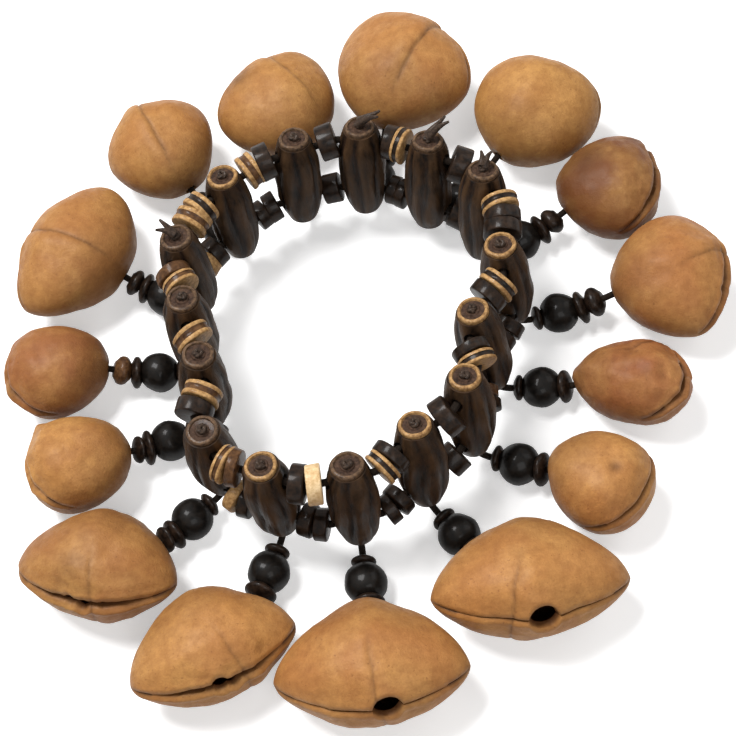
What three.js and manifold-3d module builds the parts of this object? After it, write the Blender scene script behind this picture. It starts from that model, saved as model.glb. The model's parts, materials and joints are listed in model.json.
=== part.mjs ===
// A shaker bracelet: fifteen hollow seed shells that hang from a ring of
// cross-drilled wooden barrels, threaded on two elastic strands.
// Millimetres, +Z up. The origin is on the table, in the middle of the space
// that the bracelet covers.
import * as THREE from 'three';
import { mergeVertices } from 'three/addons/utils/BufferGeometryUtils.js';
import Module from 'manifold-3d';

const wasm = await Module();
wasm.setup();

// Clearance between pieces that touch on the real object
const CLEARANCE = 0.35;

// Barrels
const BARREL_LENGTH = 21;
const BARREL_DIAMETER = 9.4;
const BARREL_FOOT_DIAMETER = 5.8;
const BARREL_TOP_DIAMETER = 6.6;
const BARREL_RIBS = 6;
const RIB_DEPTH = 0.5;
const BARREL_FULLNESS = 2.6;
const LOWER_HOLE_AT = 4.6;
const UPPER_HOLE_AT = 17.9;

// Cap disc and knot on the top of each barrel
const CAP_DIAMETER = 5.8;
const CAP_THICKNESS = 1.3;
const CAP_SEAT = 0.4;
const KNOT_DIAMETER = 2.8;
const KNOT_SEAT = 1.5;

// Elastic strands and the spacer discs on them
const STRAND_DIAMETER = 1.4;
const LOWER_SPACER_DIAMETER = 5.8;
const UPPER_SPACER_DIAMETER = 6.6;
const SPACER_THICKNESS = 1.7;
const SPACER_GAP = 0.35;
const SPACER_MARGIN = 0.95;

// Cord of each string, and the three beads on it
const CORD_DIAMETER = 1.3;
const CORD_STUB = 0.6;
const CORD_BEND_RADIUS = 4;
const CORD_LEAVES_AT = 50;
const CORD_ENDS_AT = 5;
const CORD_RISES_AT = 26;
const COLLAR_DIAMETER = 5;
const COLLAR_THICKNESS = 1.5;
const COLLAR_AT = 5;
const ROUND_DIAMETER = 8;
const ROUND_LENGTH = 6.6;
const WASHER_DIAMETER = 5.6;
const WASHER_THICKNESS = 1.5;
const BEAD_GAP = 0.3;
const SHELL_GAP = 1.5;
const INNER_KNOT_DIAMETER = 2.8;
const INNER_CORD = 4.8;

// Seed shells
const SHELL_WALL = 1.5;
const MOUTH_HEIGHT = 1.1;
const MOUTH_SHARE = 0.76;
const MOUTH_RISES = 30;
const MOUTH_HOLE_DIAMETER = 2.8;
const CORD_HOLE_DIAMETER = 2.6;
const INNER_SHARE = 0.6;
const POINT_PINCH = 0.65;
const POINT_SHARPENS = 0.45;

// Ring: gaps between barrels are measured at their widest, along an oval
const RING_ASPECT = 1.12;
const FIRST_BARREL_AT = -124;

// Each unit is a barrel with its string and its shell, from the front left
// round to the right. Lengths are in mm and angles in degrees:
// gap       free width to the next barrel
// inset     how far the barrel sits inside the oval
// flare     lean of the barrel's top away from the middle of the ring
// sway      lean of the barrel's top along the ring
// string    direction of the string on the table
// slack     bare cord before the shell
// mouth     direction that the shell's mouth faces
// depth     from the cord's side of the shell to its mouth, then its width and height
// point     0 for a round shell, 1 for one that ends in two points
// roll      turn of the shell about its string
const UNITS = [
  [5.0, -1, -3.0, -3.0, -118, 0.4, -79, 21, 33, 17, 0.9, -4],
  [5.6, 0, -8.8, 2, -94, 0.0, -98, 23, 37, 19, 1.0, 3],
  [6.2, 3.8, -9, 5, -62, 0, -95, 22, 38, 19, 1.0, -3],
  [7.6, 5, -5, 6, -31, 0.2, -48, 20, 20, 17, 0.2, 4],
  [6.2, 5.8, -10, 5, -15, 0.2, -20, 22, 18, 16, 0.4, -5],
  [7.0, 0.5, -5, 6, -2, 4.5, -2, 23, 28, 19, 0.7, 4],
  [4.0, -1, 9, 8, 15, 3.9, -15, 21, 25, 18, 0.5, -4],
  [4.6, 0, 10, 2, 33.5, 5.8, 50, 24, 28, 20, 0.4, 3],
  [4.0, 0, 9, -1, 67, 4.0, 46, 27, 32, 21, 0.5, -3],
  [5.6, 0, 5.4, -4.9, 89, 0.4, 115, 24, 28, 18, 0.5, 4],
  [5.6, 0, 5, -4, 116.3, 4.0, 112, 23, 25, 18, 0.6, -4],
  [5, 0, 3, -3, 145.8, 2.5, 143, 22, 35.5, 19, 0.8, 3],
  [4.2, 3, -2, -4, 171, 3.6, -174, 20, 20, 17.6, 0.2, -4],
  [5, 3.4, -5, -3, -168, 1.5, -178, 20, 20, 17, 0.1, 4],
  [5.0, -1, 0, 0, -145.5, 1.8, -109, 21, 32, 17, 0.8, -3],
].map(([gap, inset, flare, sway, string, slack, mouth, depth, width, height, point, roll]) => (
  { gap, inset, flare, sway, string, slack, mouth, depth, width, height, point, roll }));

// How finely round forms are divided
const BARREL_BANDS = 4;
const BEAD_BANDS = 4;
const CORD_SIDES = 7;
const CAP_SIDES = 8;
const HOLE_SIDES = 6;
const SHELL_SEGMENTS = 10;
const SHELL_RINGS = 7;
const CAVITY_SEGMENTS = 8;
const CAVITY_RINGS = 6;
const OVAL_STEPS = 720;
const BISECTIONS = 40;

const COLOURS = { barrel: 0x3c2d26, strand: 0x4a382c, string: 0x1e1a18, shell: 0xc9955f };

// Vertices closer than this are one
const WELD = 1e-5;

const radians = THREE.MathUtils.degToRad;
const next = (i) => (i + 1) % UNITS.length;
const before = (i) => (i + UNITS.length - 1) % UNITS.length;
const number = (i) => String(i + 1).padStart(2, '0');
const finish = (color, roughness) => new THREE.MeshStandardMaterial({ color, roughness, metalness: 0 });

// A closed geometry as a solid that can be joined and cut
function solid(geometry) {
  const bare = geometry.clone();
  for (const name of Object.keys(bare.attributes)) {
    if (name !== 'position') bare.deleteAttribute(name);
  }
  const welded = mergeVertices(bare, WELD);
  const vertProperties = new Float32Array(welded.attributes.position.array);
  const triVerts = new Uint32Array(welded.index.array);
  return new wasm.Manifold(new wasm.Mesh({ numProp: 3, vertProperties, triVerts }));
}

// A solid back as a geometry
function geometryOf(shape) {
  const mesh = shape.getMesh();
  const geometry = new THREE.BufferGeometry();
  geometry.setAttribute('position', new THREE.BufferAttribute(new Float32Array(mesh.vertProperties), 3));
  geometry.setIndex(new THREE.BufferAttribute(new Uint32Array(mesh.triVerts), 1));
  geometry.computeVertexNormals();
  return geometry;
}

// The value between `low` and `high` from which on `beyond` is true
function bisect(low, high, beyond) {
  for (let step = 0; step < BISECTIONS; step += 1) {
    const middle = (low + high) / 2;
    if (beyond(middle)) high = middle;
    else low = middle;
  }
  return low;
}

const joined = (shapes) => shapes.reduce((all, shape) => all.add(shape));

// A short cylinder whose axis runs along `direction`
function disc(diameter, thickness, sides, middle, direction) {
  const geometry = new THREE.CylinderGeometry(diameter / 2, diameter / 2, thickness, sides);
  const turn = new THREE.Quaternion().setFromUnitVectors(new THREE.Vector3(0, 1, 0), direction);
  return solid(geometry.applyQuaternion(turn).translate(middle.x, middle.y, middle.z));
}

// A tube through rings square to its path, each with a radius of its own, so
// that the beads on a cord are part of it. Its ends close, or meet in a loop.
function beadedTube(rings, sides, loop) {
  const positions = [];
  const indices = [];
  const corner = (k, s) => (k % rings.length) * sides + (s % sides);
  for (const { point, direction, radius } of rings) {
    const aside = new THREE.Vector3(direction.y, -direction.x, 0).normalize();
    const above = new THREE.Vector3().crossVectors(aside, direction).normalize();
    for (let s = 0; s < sides; s += 1) {
      const angle = 2 * Math.PI * (s + 0.5) / sides;
      const place = point.clone().addScaledVector(aside, radius * Math.cos(angle));
      positions.push(...place.addScaledVector(above, radius * Math.sin(angle)));
    }
  }
  const ends = loop ? [] : [rings[0].point, rings[rings.length - 1].point];
  for (const end of ends) positions.push(...end);
  const last = rings.length - 1;
  const pole = rings.length * sides;
  for (let s = 0; s < sides; s += 1) {
    for (let k = 0; k < (loop ? rings.length : last); k += 1) {
      indices.push(corner(k, s), corner(k + 1, s), corner(k, s + 1));
      indices.push(corner(k, s + 1), corner(k + 1, s), corner(k + 1, s + 1));
    }
    if (!loop) indices.push(pole, corner(0, s), corner(0, s + 1));
    if (!loop) indices.push(pole + 1, corner(last, s + 1), corner(last, s));
  }
  const geometry = new THREE.BufferGeometry();
  geometry.setAttribute('position', new THREE.Float32BufferAttribute(positions, 3));
  geometry.setIndex(indices);
  geometry.computeVertexNormals();
  return geometry;
}

// A solid of revolution about +Z from [radius, height] points
function turned(points, sides) {
  const profile = points.map(([radius, height]) => new THREE.Vector2(radius, height));
  return new THREE.LatheGeometry(profile, sides).rotateX(Math.PI / 2);
}

// Barrel

// A round hole of `sides` flats that leaves CLEARANCE round a cord
const holeDiameter = (cord, sides) => (cord + 2 * CLEARANCE) / Math.cos(Math.PI / sides);

function barrelRadiusAt(height) {
  const end = height < BARREL_LENGTH / 2 ? BARREL_FOOT_DIAMETER : BARREL_TOP_DIAMETER;
  const share = Math.min(1, Math.abs(2 * height / BARREL_LENGTH - 1));
  return (BARREL_DIAMETER - (BARREL_DIAMETER - end) * share ** BARREL_FULLNESS) / 2;
}

// A ribbed pod body: every second edge of the turned form is sunk between ribs
function ribbedBody() {
  const profile = [[0, 0]];
  for (let band = 0; band <= BARREL_BANDS; band += 1) {
    const height = BARREL_LENGTH * (1 - Math.cos(Math.PI * band / BARREL_BANDS)) / 2;
    profile.push([barrelRadiusAt(height), height]);
  }
  profile.push([0, BARREL_LENGTH]);
  const geometry = turned(profile, 2 * BARREL_RIBS);
  const place = geometry.attributes.position;
  for (let i = 0; i < place.count; i += 1) {
    const edge = Math.floor(i / profile.length);
    const row = i % profile.length;
    if (edge % 2 === 1 && row > 1 && row < profile.length - 2) {
      const sunk = 1 - RIB_DEPTH / profile[row][0];
      place.setXY(i, place.getX(i) * sunk, place.getY(i) * sunk);
    }
  }
  return solid(geometry);
}

// Cap, knot, both cross-holes and the cord's stub under the foot
function barrelGeometry() {
  const up = new THREE.Vector3(0, 0, 1);
  const along = new THREE.Vector3(0, 1, 0);
  const onAxis = (height) => new THREE.Vector3(0, 0, height);
  const capBase = BARREL_LENGTH - CAP_SEAT;
  const cap = disc(CAP_DIAMETER, CAP_THICKNESS, CAP_SIDES, onAxis(capBase + CAP_THICKNESS / 2), up);
  const knotHeight = capBase + CAP_THICKNESS + KNOT_DIAMETER / 2 - KNOT_SEAT;
  const knot = solid(new THREE.OctahedronGeometry(KNOT_DIAMETER / 2, 0).translate(0, 0, knotHeight));
  const stub = disc(CORD_DIAMETER, 2 * CORD_STUB, HOLE_SIDES, onAxis(0), up);
  const bore = holeDiameter(STRAND_DIAMETER, HOLE_SIDES);
  const holes = [LOWER_HOLE_AT, UPPER_HOLE_AT].map((height) =>
    disc(bore, 2 * BARREL_DIAMETER, HOLE_SIDES, onAxis(height), along));
  const body = joined([ribbedBody(), cap, knot, stub]);
  return geometryOf(body.subtract(joined(holes)));
}

// String: cord and beads in a plane, from its pivot under the barrel's foot

const ROUND_AT = COLLAR_AT + COLLAR_THICKNESS / 2 + BEAD_GAP + ROUND_LENGTH / 2;
const WASHER_AT = ROUND_AT + ROUND_LENGTH / 2 + BEAD_GAP + WASHER_THICKNESS / 2;
const RISE_FROM = ROUND_AT + ROUND_LENGTH / 2 - BEAD_GAP;
const shellAt = (unit) => WASHER_AT + WASHER_THICKNESS / 2 + unit.slack + SHELL_GAP + SHELL_WALL / 2;

// The cord's runs from its pivot: [length, slope at its end], each one an arc
const BEND_LENGTH = CORD_BEND_RADIUS * radians(CORD_LEAVES_AT + CORD_ENDS_AT);
const RISE_LENGTH = 2 * CORD_BEND_RADIUS * radians(CORD_RISES_AT - CORD_ENDS_AT);
const RUNS = [
  [BEND_LENGTH, CORD_ENDS_AT],
  [RISE_FROM - BEND_LENGTH, CORD_ENDS_AT],
  [RISE_LENGTH, CORD_RISES_AT],
  [Infinity, CORD_RISES_AT],
];

// Point and direction of the cord, `length` along it from its pivot
function alongCord(length) {
  const point = new THREE.Vector3();
  let slope = -radians(CORD_LEAVES_AT);
  let left = length;
  for (const [run, endSlope] of RUNS) {
    const used = Math.min(left, run);
    const turn = run < Infinity ? (radians(endSlope) - slope) * used / run : 0;
    const chord = turn ? 2 * used * Math.sin(turn / 2) / turn : used;
    point.x += chord * Math.cos(slope + turn / 2);
    point.z += chord * Math.sin(slope + turn / 2);
    slope += turn;
    left -= used;
    if (left <= 0) break;
  }
  return { point, direction: new THREE.Vector3(Math.cos(slope), 0, Math.sin(slope)) };
}

// The round bead lies on the table, which sets the height of the pivots
const PIVOT_HEIGHT = ROUND_DIAMETER / 2 - alongCord(ROUND_AT).point.z;
const FOOT_HEIGHT = PIVOT_HEIGHT + CORD_DIAMETER / 2 + CLEARANCE + CORD_STUB;

// Radii of a disc bead from its first to its second face, [distance, radius]
function discBead(middle, diameter, thickness) {
  return [[middle - thickness / 2, diameter / 2], [middle + thickness / 2, diameter / 2]];
}

// Radii of the round bead, whose ends are cut flat
function roundBead(middle) {
  const rings = [];
  for (let band = 0; band <= BEAD_BANDS; band += 1) {
    const away = ROUND_LENGTH * (band / BEAD_BANDS - 1 / 2);
    rings.push([middle + away, Math.sqrt((ROUND_DIAMETER / 2) ** 2 - away ** 2)]);
  }
  return rings;
}

// The last radii are the knot inside the shell
function stringGeometry(unit) {
  const cord = CORD_DIAMETER / 2;
  const knot = shellAt(unit) + INNER_CORD;
  const profile = [
    [0, cord],
    [BEND_LENGTH / 2, cord],
    [COLLAR_AT - COLLAR_THICKNESS / 2, cord],
    ...discBead(COLLAR_AT, COLLAR_DIAMETER, COLLAR_THICKNESS),
    [ROUND_AT - (ROUND_LENGTH + BEAD_GAP) / 2, cord],
    ...roundBead(ROUND_AT),
    [ROUND_AT + (ROUND_LENGTH + BEAD_GAP) / 2, cord],
    ...discBead(WASHER_AT, WASHER_DIAMETER, WASHER_THICKNESS),
    [WASHER_AT + WASHER_THICKNESS / 2, cord],
    [knot - INNER_KNOT_DIAMETER / 2, cord],
    [knot, INNER_KNOT_DIAMETER / 2],
  ];
  const rings = profile.map(([distance, radius]) => ({ ...alongCord(distance), radius }));
  return beadedTube(rings, CORD_SIDES, false);
}

// Shell: x runs to the mouth, y along the width, z up, from its middle

// The cord's entry is sought up to this many degrees aside from the back of
// the shell, and on slopes up to the steepest one
const ENTRY_SPREAD = 72;
const STEEPEST = radians(75);

// Distance from the middle to the surface in a direction
function shellRadius(unit, direction) {
  const { depth, width, height, point } = unit;
  const reach = direction.x > 0 ? depth * (1 - INNER_SHARE) : depth * INNER_SHARE;
  const across = Math.hypot(direction.x / reach, 2 * direction.z / height);
  const aside = Math.abs(2 * direction.y / width);
  const girthPower = 2 - POINT_PINCH * point;
  const widthPower = 2 - POINT_SHARPENS * point;
  return bisect(0, depth + width + height, (radius) =>
    (across * radius) ** girthPower + (aside * radius) ** widthPower > 1);
}

// A closed form `inset` inside the shell's outer surface
function shellForm(unit, segments, rings, inset) {
  const geometry = new THREE.SphereGeometry(1, segments, rings);
  const place = geometry.attributes.position;
  for (let i = 0; i < place.count; i += 1) {
    const direction = new THREE.Vector3().fromBufferAttribute(place, i).normalize();
    const radius = shellRadius(unit, direction) - inset;
    place.setXYZ(i, direction.x * radius, direction.y * radius, direction.z * radius);
  }
  return geometry;
}

// How a shell lies on the table: its turn, and the place on it, from its
// middle, where a level cut at the cord's height reaches furthest back along
// the string, so that the cord enters square to the wall
function layShell(unit, cordHeight) {
  const pose = new THREE.Matrix4().makeRotationX(radians(unit.roll));
  pose.multiply(new THREE.Matrix4().makeRotationZ(radians(unit.mouth - unit.string)));
  const inverse = pose.clone().invert();
  const outer = shellForm(unit, SHELL_SEGMENTS, SHELL_RINGS, 0).applyMatrix4(pose);
  outer.computeBoundingBox();
  const level = cordHeight + outer.boundingBox.min.z;
  const surface = (azimuth, slope) => {
    const direction = new THREE.Vector3(Math.cos(azimuth) * Math.cos(slope),
      Math.sin(azimuth) * Math.cos(slope), Math.sin(slope));
    return direction.clone().multiplyScalar(shellRadius(unit, direction.clone().applyMatrix4(inverse)));
  };
  const atLevel = (azimuth) => {
    const slope = bisect(-STEEPEST, STEEPEST, (middle) => surface(azimuth, middle).z > level);
    return surface(azimuth, slope);
  };
  let entry = atLevel(Math.PI);
  for (let turn = -ENTRY_SPREAD; turn <= ENTRY_SPREAD; turn += 1) {
    const point = atLevel(Math.PI + radians(turn));
    if (point.x < entry.x) entry = point;
  }
  return { pose, entry };
}

// The shell about its pivot, in the middle of the wall where the cord enters
function shellGeometry(unit, lay) {
  const reach = unit.depth * (1 - INNER_SHARE);
  const outer = solid(shellForm(unit, SHELL_SEGMENTS, SHELL_RINGS, 0));
  const cavity = solid(shellForm(unit, CAVITY_SEGMENTS, CAVITY_RINGS, SHELL_WALL));
  const slit = new THREE.BoxGeometry(reach, unit.width * MOUTH_SHARE, MOUTH_HEIGHT);
  const rise = new THREE.Matrix4().makeRotationY(-radians(MOUTH_RISES));
  const mouth = solid(slit.translate(reach, 0, 0).applyMatrix4(rise));
  const front = new THREE.Vector3(reach, 0, 0).applyMatrix4(rise);
  const hole = disc(MOUTH_HOLE_DIAMETER, reach, HOLE_SIDES, front, front.clone().normalize());
  const cut = outer.subtract(cavity).subtract(mouth).subtract(hole);
  const shell = geometryOf(cut).applyMatrix4(lay.pose);
  const drill = alongCord(shellAt(unit)).direction;
  const pivot = lay.entry.clone().addScaledVector(drill, SHELL_WALL / 2);
  shell.translate(-pivot.x, -pivot.y, -pivot.z);
  const cordHole = disc(CORD_HOLE_DIAMETER, 4 * SHELL_WALL, HOLE_SIDES, new THREE.Vector3(), drill);
  return geometryOf(solid(shell).subtract(cordHole));
}

// Ring: places of the barrels along the oval

const PERIMETER = UNITS.reduce((sum, unit) => sum + BARREL_DIAMETER + unit.gap, 0);

// Points at equal small steps along an oval of width 2, with their distances
function ovalTable() {
  const points = [];
  let distance = 0;
  for (let k = 0; k <= OVAL_STEPS; k += 1) {
    const angle = radians(FIRST_BARREL_AT) + 2 * Math.PI * k / OVAL_STEPS;
    const point = new THREE.Vector2(Math.cos(angle), RING_ASPECT * Math.sin(angle));
    if (k) distance += point.distanceTo(points[k - 1].point);
    points.push({ point, distance });
  }
  return points;
}

function ringPlaces() {
  const table = ovalTable();
  const scale = PERIMETER / table[table.length - 1].distance;
  const places = [];
  let distance = 0;
  for (const unit of UNITS) {
    const entry = table.find((row) => row.distance * scale >= distance);
    const oval = entry.point.clone().multiplyScalar(scale);
    const outward = new THREE.Vector2(oval.x * RING_ASPECT ** 2, oval.y).normalize();
    places.push({ spot: oval.addScaledVector(outward, -unit.inset) });
    distance += BARREL_DIAMETER + unit.gap;
  }
  places.forEach((place, i) => {
    const chord = places[next(i)].spot.clone().sub(places[before(i)].spot);
    place.outward = Math.atan2(-chord.x, chord.y);
  });
  return places;
}

// Strands: each runs straight through one cross-hole of every barrel

// Place and direction on the smooth bow from one barrel's hole to the next
function bow(from, to, t) {
  const span = from.leaves.distanceTo(to.enters);
  const handle = span / 3;
  const curve = new THREE.CubicBezierCurve3(from.leaves,
    from.leaves.clone().addScaledVector(from.along, handle),
    to.enters.clone().addScaledVector(to.along, -handle), to.enters);
  return { point: curve.getPoint(t), direction: curve.getTangent(t) };
}

function strandGeometry(barrels, height, spacerDiameter) {
  const towardMiddle = Math.sign(BARREL_LENGTH / 2 - height) * spacerDiameter / 2;
  const reach = barrelRadiusAt(height + towardMiddle) + CLEARANCE;
  const cord = STRAND_DIAMETER / 2;
  const stations = barrels.map((barrel) => {
    const along = new THREE.Vector3(0, 1, 0).transformDirection(barrel.matrixWorld);
    const middle = new THREE.Vector3(0, 0, height).applyMatrix4(barrel.matrixWorld);
    const enters = middle.clone().addScaledVector(along, -reach);
    return { along, enters, leaves: middle.clone().addScaledVector(along, reach) };
  });
  const rings = [];
  stations.forEach((from, i) => {
    const to = stations[next(i)];
    const chord = to.enters.clone().sub(from.leaves);
    const room = chord.length();
    const ring = (distance, radius) => rings.push({ ...bow(from, to, distance / room), radius });
    const margins = [from, to].map(({ along: hole }) =>
      SPACER_MARGIN + spacerDiameter / 2 * Math.sin(hole.angleTo(chord)));
    const free = room - margins[0] - margins[1];
    const pitch = SPACER_THICKNESS + SPACER_GAP;
    const count = Math.max(1, Math.floor((free + SPACER_GAP) / pitch));
    const first = margins[0] + (free + SPACER_GAP - count * pitch) / 2;
    ring(0, cord);
    ring(first, cord);
    for (let k = 0; k < count; k += 1) {
      const start = first + k * pitch;
      ring(start, spacerDiameter / 2);
      ring(start + SPACER_THICKNESS, spacerDiameter / 2);
      ring(start + SPACER_THICKNESS + (k < count - 1 ? SPACER_GAP / 2 : 0), cord);
    }
    ring(room, cord);
  });
  return beadedTube(rings, CORD_SIDES, true);
}

// Assembly

const bracelet = new THREE.Group();
const ring = new THREE.Group();
bracelet.add(ring);

function mesh(name, geometry, color, roughness) {
  const piece = new THREE.Mesh(geometry, finish(color, roughness));
  piece.name = name;
  return piece;
}

const places = ringPlaces();
const barrels = UNITS.map((unit, i) => {
  const { spot, outward } = places[i];
  const stand = new THREE.Group();
  stand.position.set(spot.x, spot.y, 0);
  stand.rotation.z = outward;
  ring.add(stand);

  const lean = new THREE.Group();
  lean.position.z = FOOT_HEIGHT;
  lean.rotation.set(-radians(unit.sway), radians(unit.flare), 0);
  stand.add(lean);
  const barrel = mesh(`barrel_${number(i)}`, barrelGeometry(), COLOURS.barrel, 0.75);
  lean.add(barrel);

  const swing = new THREE.Group();
  const pivot = new THREE.Vector3(0, 0, -(FOOT_HEIGHT - PIVOT_HEIGHT)).applyEuler(lean.rotation);
  swing.position.set(pivot.x, pivot.y, FOOT_HEIGHT + pivot.z);
  swing.rotation.z = radians(unit.string) - outward;
  stand.add(swing);
  swing.add(mesh(`bead_string_${number(i)}`, stringGeometry(unit), COLOURS.string, 0.35));

  const nod = new THREE.Group();
  const end = alongCord(shellAt(unit)).point;
  nod.position.copy(end);
  swing.add(nod);
  const wallHeight = SHELL_WALL / 2 * alongCord(shellAt(unit)).direction.z;
  const lay = layShell(unit, PIVOT_HEIGHT + end.z - wallHeight);
  nod.add(mesh(`seed_shell_${number(i)}`, shellGeometry(unit, lay), COLOURS.shell, 0.55));
  return barrel;
});

// Each barrel turns about its own axis until its cross-holes face its neighbours
ring.updateMatrixWorld(true);
const middles = barrels.map((barrel) =>
  new THREE.Vector3(0, 0, (LOWER_HOLE_AT + UPPER_HOLE_AT) / 2).applyMatrix4(barrel.matrixWorld));
barrels.forEach((barrel, i) => {
  const chord = middles[next(i)].clone().sub(middles[before(i)]);
  const local = chord.transformDirection(barrel.matrixWorld.clone().invert());
  barrel.rotation.z = Math.atan2(-local.x, local.y);
});

ring.updateMatrixWorld(true);
const lower = strandGeometry(barrels, LOWER_HOLE_AT, LOWER_SPACER_DIAMETER);
const upper = strandGeometry(barrels, UPPER_HOLE_AT, UPPER_SPACER_DIAMETER);
ring.add(mesh('lower_strand', lower, COLOURS.strand, 0.5));
ring.add(mesh('upper_strand', upper, COLOURS.strand, 0.5));

const covered = new THREE.Box3().setFromObject(ring, true).getCenter(new THREE.Vector3());
ring.position.set(-covered.x, -covered.y, 0);
bracelet.updateMatrixWorld(true);

export default bracelet;
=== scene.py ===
"""The looks of a shaker bracelet: wrinkled seed shells on beaded cords round a ring of ribbed barrels.

Places come from the frame's joints, boxes and barrel nodes. Sizes are in millimetres and angles in
degrees unless a name or a comment says otherwise.
"""
import json
import math

import bmesh
import bpy
import numpy as np
from mathutils import Matrix, Vector, noise


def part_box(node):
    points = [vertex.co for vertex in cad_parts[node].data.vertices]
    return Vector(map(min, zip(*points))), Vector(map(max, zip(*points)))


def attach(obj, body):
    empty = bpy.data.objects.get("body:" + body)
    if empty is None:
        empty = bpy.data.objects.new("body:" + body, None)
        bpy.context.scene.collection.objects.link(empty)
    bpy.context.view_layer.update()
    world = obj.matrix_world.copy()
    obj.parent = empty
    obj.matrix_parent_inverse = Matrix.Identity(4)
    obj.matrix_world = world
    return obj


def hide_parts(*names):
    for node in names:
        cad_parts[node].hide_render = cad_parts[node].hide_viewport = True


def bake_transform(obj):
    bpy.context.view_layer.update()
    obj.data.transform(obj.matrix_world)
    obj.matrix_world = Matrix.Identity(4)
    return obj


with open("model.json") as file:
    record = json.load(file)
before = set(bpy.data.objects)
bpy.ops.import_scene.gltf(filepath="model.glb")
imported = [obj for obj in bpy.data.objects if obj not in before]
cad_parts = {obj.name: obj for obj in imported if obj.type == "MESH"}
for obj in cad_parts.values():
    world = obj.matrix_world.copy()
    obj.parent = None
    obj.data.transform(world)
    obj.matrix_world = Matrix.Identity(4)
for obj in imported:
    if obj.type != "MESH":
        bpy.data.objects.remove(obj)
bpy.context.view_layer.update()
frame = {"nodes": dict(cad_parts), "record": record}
MM = 0.001
COUNT = 15
UNITS = [f"{i + 1:02d}" for i in range(COUNT)]
joints = {joint["name"]: joint for joint in frame["record"]["behaviour"]["joints"]}

# Camera: as high over the table as the photographer, turned a little
ELEVATION = 60
ROLL = 12
CAMERA_DISTANCE = 300
LOOKS_AT = (-2.7, -3.6, 10)
PICTURE_OFFSET = (3.0, -2.75)
FOCAL_LENGTH = 75.6
SENSOR_WIDTH = 36
NEAREST_SEEN = 10

# Stage, in metres: lamps as (place, size, power in watts), and the table's glow
# where it is seen, which grows from the object outwards to meet the surround
LAMPS = {
    "key": ((-0.2, 0.16, 0.58), 0.25, 5.0),
    "fill": ((0.1, -0.42, 0.45), 0.3, 1.1),
    "side": ((0.4, 0.1, 0.4), 0.3, 0.5),
}
LAMPS_AIM_AT = (0, 0, 0.01)
TABLE_HALF = 1.5
GLOW_GROWS_FROM = 0.15
GLOW_GROWS_TO = 0.5
LEAST_GLOW = 0.42
SURROUND_LIGHT = 0.13

# Cord, beads and barrels, as in the model or a little fuller
CLEARANCE = 0.35
CORD_RADIUS = 0.65
CORD_STUB = 0.6
CORD_SIDES = 10
BARREL_LENGTH = 21
BARREL_RADIUS = 4.8
BARREL_FOOT_RADIUS = 2.9
BARREL_TOP_RADIUS = 3.3
BARREL_FULLNESS = 2.6
LOWER_HOLE_AT = 4.6
UPPER_HOLE_AT = 17.9
CROSS_HOLE_RADIUS = 1.25
STRAND_RADIUS = 0.7
CAP_RADIUS = 2.95
CAP_THICKNESS = 1.3
CAP_SEAT = 0.4
CORD_BEND_RADIUS = 4
CORD_LEAVES_AT = 50
CORD_ENDS_AT = 5
CORD_RISES_AT = 26
RISE_BEGINS_AT = 12.35
COLLAR_AT = 5
COLLAR_RADIUS = 2.55
COLLAR_THICKNESS = 2.0
ROUND_AT = 9.35
ROUND_RADIUS = 4
ROUND_LENGTH = 6.9
WASHER_AT = 13.7
WASHER_SITS_ON = 0.2
WASHER_RADIUS = 3.2
WASHER_THICKNESS = 2.3

# The bead that fills what is left between washer and shell
THICKEST_LAST_BEAD = 3.4
THINNEST_LAST_BEAD = 1
LAST_BEAD_RADIUS = 2.8
LAST_BEAD_GAP = 1.5
LAST_BEAD_SITS_OFF = 0.1
BROWN_BEAD_ON = "13"

# The cord's end in the shell and its knot, past the hole in the wall
CORD_REACHES_IN = 3.6
INNER_KNOT_AT = 4.4
INNER_KNOT_THICKNESS = 2.6
INNER_KNOT_RADIUS = 1.35

# A barrel's surface. Ribs twist and wander as they run, wrinkles are fine and
# lengthwise, and a crest is worn where a rib or a wrinkle stands out.
BARREL_ROWS = 56
BARREL_SIDES = 98
BARREL_RIBS = 7
RIB_DEPTH = 0.55
RIB_SHARPNESS = 0.8
RIBS_TWIST = 0.35
RIBS_WANDER = 0.25
WRINKLE_DEPTH = 0.3
WRINKLE_FINENESS = 4
LUMP_DEPTH = 0.25
WEAR_OF_RIB = 1.3
WEAR_OF_WRINKLE = 0.8
UNWORN = 0.45
DRILL_SIDES = 20
DRILL_REACH = 8

# A cap disc, as (height over its foot or depth under its top, share of its
# radius), and the hollow of its top, as (depth, share of the rim's radius)
CAP_SIDES = 32
CAP_FOOT = ((0, 0.9), (0.12, 0.97), (0.3, 1))
CAP_TOP = ((0.3, 1), (0.1, 0.97), (0, 0.92))
CAP_HOLLOW = ((0, 1), (0.35, 0.93), (0.4, 0.6), (0.15, 0.52), (0.15, 0.1))
CAP_RIM_SHARE = 0.8
CAP_UNEVEN = 0.05

# The knot on a cap: cord wound round and over itself, and its two frayed ends
KNOT_STEPS = 34
KNOT_TURNS = 1.9
KNOT_RADIUS = 0.55
KNOT_SWAY = 0.2
KNOT_WAVES = 1.5
KNOT_SEAT = 0.1
KNOT_CLIMB = 0.006
KNOT_CORD_RADIUS = 0.36
KNOT_CORD_SIDES = 9
TAIL_ENDS = ((0, 0.25), (1, -0.3))
TAIL_STEPS = 7
TAIL_SIDES = 8
TAIL_RADIUS = 0.85
TAIL_TIP_RADIUS = 0.25
TAIL_STARTS_AT = 0.5
TAIL_RISE = 0.55
TAIL_REACH = 0.75
TAIL_SPREADS = 3
TAIL_WAVE = 0.5

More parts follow.
